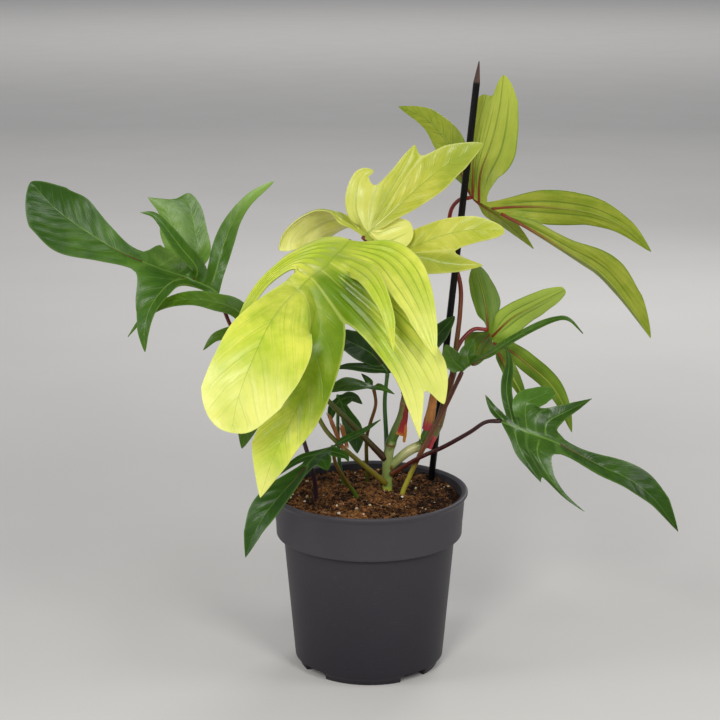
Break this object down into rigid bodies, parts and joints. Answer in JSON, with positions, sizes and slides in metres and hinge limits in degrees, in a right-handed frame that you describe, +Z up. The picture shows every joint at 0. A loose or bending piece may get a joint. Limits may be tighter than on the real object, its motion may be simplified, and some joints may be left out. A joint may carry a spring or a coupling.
{
  "type": "potted plant",
  "caption": "Philodendron with deeply lobed lime and green leaves on thin petioles, in a black nursery pot of peat with a dark support stick.",
  "frame": {"origin": "centre of the underside of the pot, on the plane it stands on", "axes": "+Z up along the pot's axis; -Y towards the viewer of the picture, where the big lime leaf hangs over the rim; +X to the viewer's right, where the support stick stands"},
  "size_m": [0.4655, 0.2343, 0.458],
  "materials": {
    "pot_black": "satin",
    "soil_peat": "matte",
    "stake_dark": "satin",
    "stem_green": "satin",
    "leaf_front": "gloss",
    "leaf_crown": "gloss",
    "leaf_top": "gloss",
    "leaf_mid": "gloss",
    "leaf_inner": "gloss",
    "leaf_low_right": "gloss",
    "leaf_left": "gloss",
    "leaf_low_left": "gloss",
    "leaf_shade_a": "gloss",
    "leaf_shade_b": "gloss",
    "leaf_back": "gloss",
    "leaf_hanging": "gloss",
    "petiole_front": "satin",
    "petiole_crown": "satin",
    "petiole_top": "satin",
    "petiole_mid": "satin",
    "petiole_inner": "satin",
    "petiole_low_right": "satin",
    "petiole_left": "satin",
    "petiole_low_left": "satin",
    "petiole_shade_a": "satin",
    "petiole_shade_b": "satin",
    "petiole_back": "satin",
    "petiole_hanging": "satin",
    "sheath_red": "matte",
    "sheath_tan": "matte",
    "sheath_dry": "matte"
  },
  "bodies": {
    "root": {"pot": "pot_black", "soil": "soil_peat", "stake": "stake_dark", "stem": "stem_green", "leaf_front": "leaf_front", "leaf_crown": "leaf_crown", "leaf_top": "leaf_top", "leaf_mid": "leaf_mid", "leaf_inner": "leaf_inner", "leaf_low_right": "leaf_low_right", "leaf_left": "leaf_left", "leaf_low_left": "leaf_low_left", "leaf_shade_a": "leaf_shade_a", "leaf_shade_b": "leaf_shade_b", "leaf_back": "leaf_back", "leaf_hanging": "leaf_hanging", "petiole_front": "petiole_front", "petiole_crown": "petiole_crown", "petiole_top": "petiole_top", "petiole_mid": "petiole_mid", "petiole_inner": "petiole_inner", "petiole_low_right": "petiole_low_right", "petiole_left": "petiole_left", "petiole_low_left": "petiole_low_left", "petiole_shade_a": "petiole_shade_a", "petiole_shade_b": "petiole_shade_b", "petiole_back": "petiole_back", "petiole_hanging": "petiole_hanging", "sheath_red": "sheath_red", "sheath_tan": "sheath_tan", "sheath_dry": "sheath_dry"}
  },
  "joints": []
}
